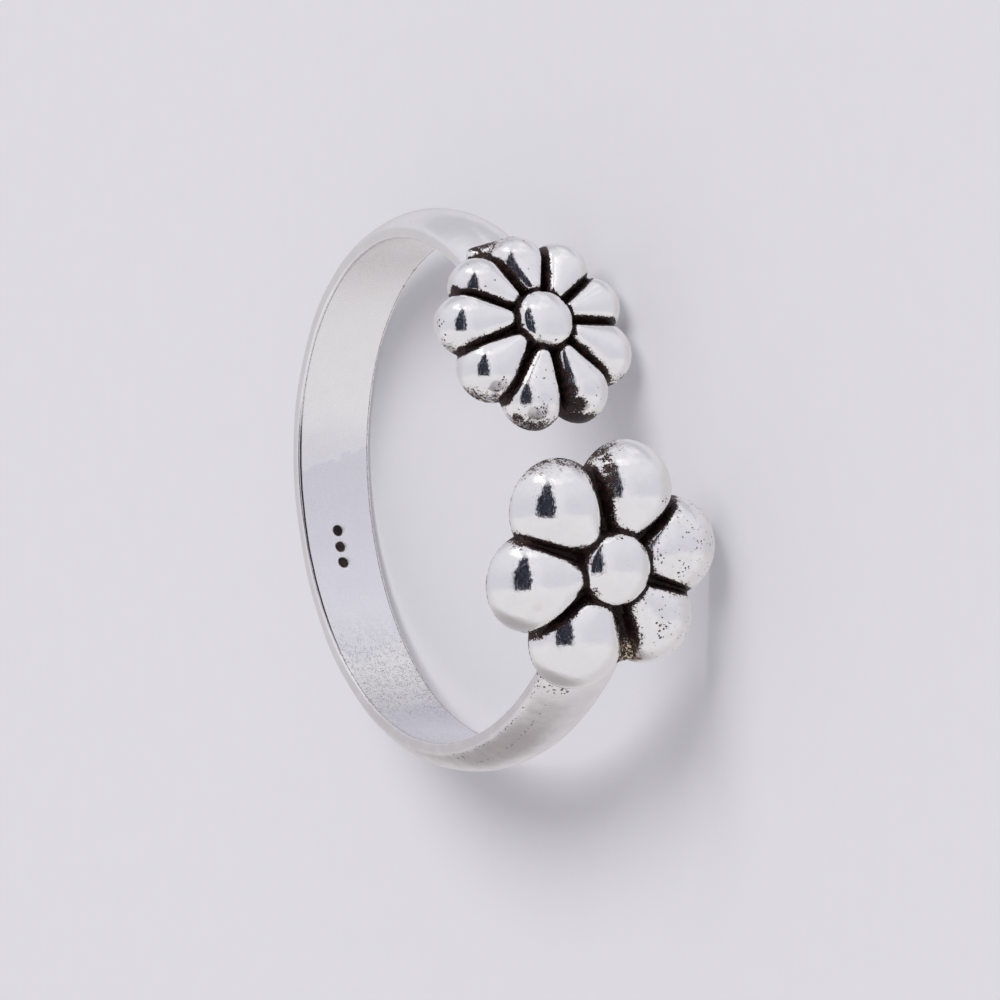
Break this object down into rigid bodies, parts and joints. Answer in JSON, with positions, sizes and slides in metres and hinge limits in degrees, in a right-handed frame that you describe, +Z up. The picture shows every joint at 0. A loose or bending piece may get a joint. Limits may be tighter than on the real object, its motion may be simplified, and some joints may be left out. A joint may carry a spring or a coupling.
{
  "type": "toe ring",
  "caption": "Open, adjustable toe ring: a half-round metal band that ends in a small domed flower on one side of the gap and a larger domed flower on the other.",
  "frame": {"origin": "middle of the ring's outline on the floor, as it lies on its side", "axes": "+Z up; the flowers and the gap between them face -Y; the band's upper half with the small flower is on the +X side; the ring's own axis leans 7.5 degrees from +Z"},
  "size_m": [0.0172, 0.0195, 0.0076],
  "materials": {
    "silver": "polished silver, darkened in the grooves"
  },
  "bodies": {
    "root": {"toe_ring": "silver"}
  },
  "joints": []
}
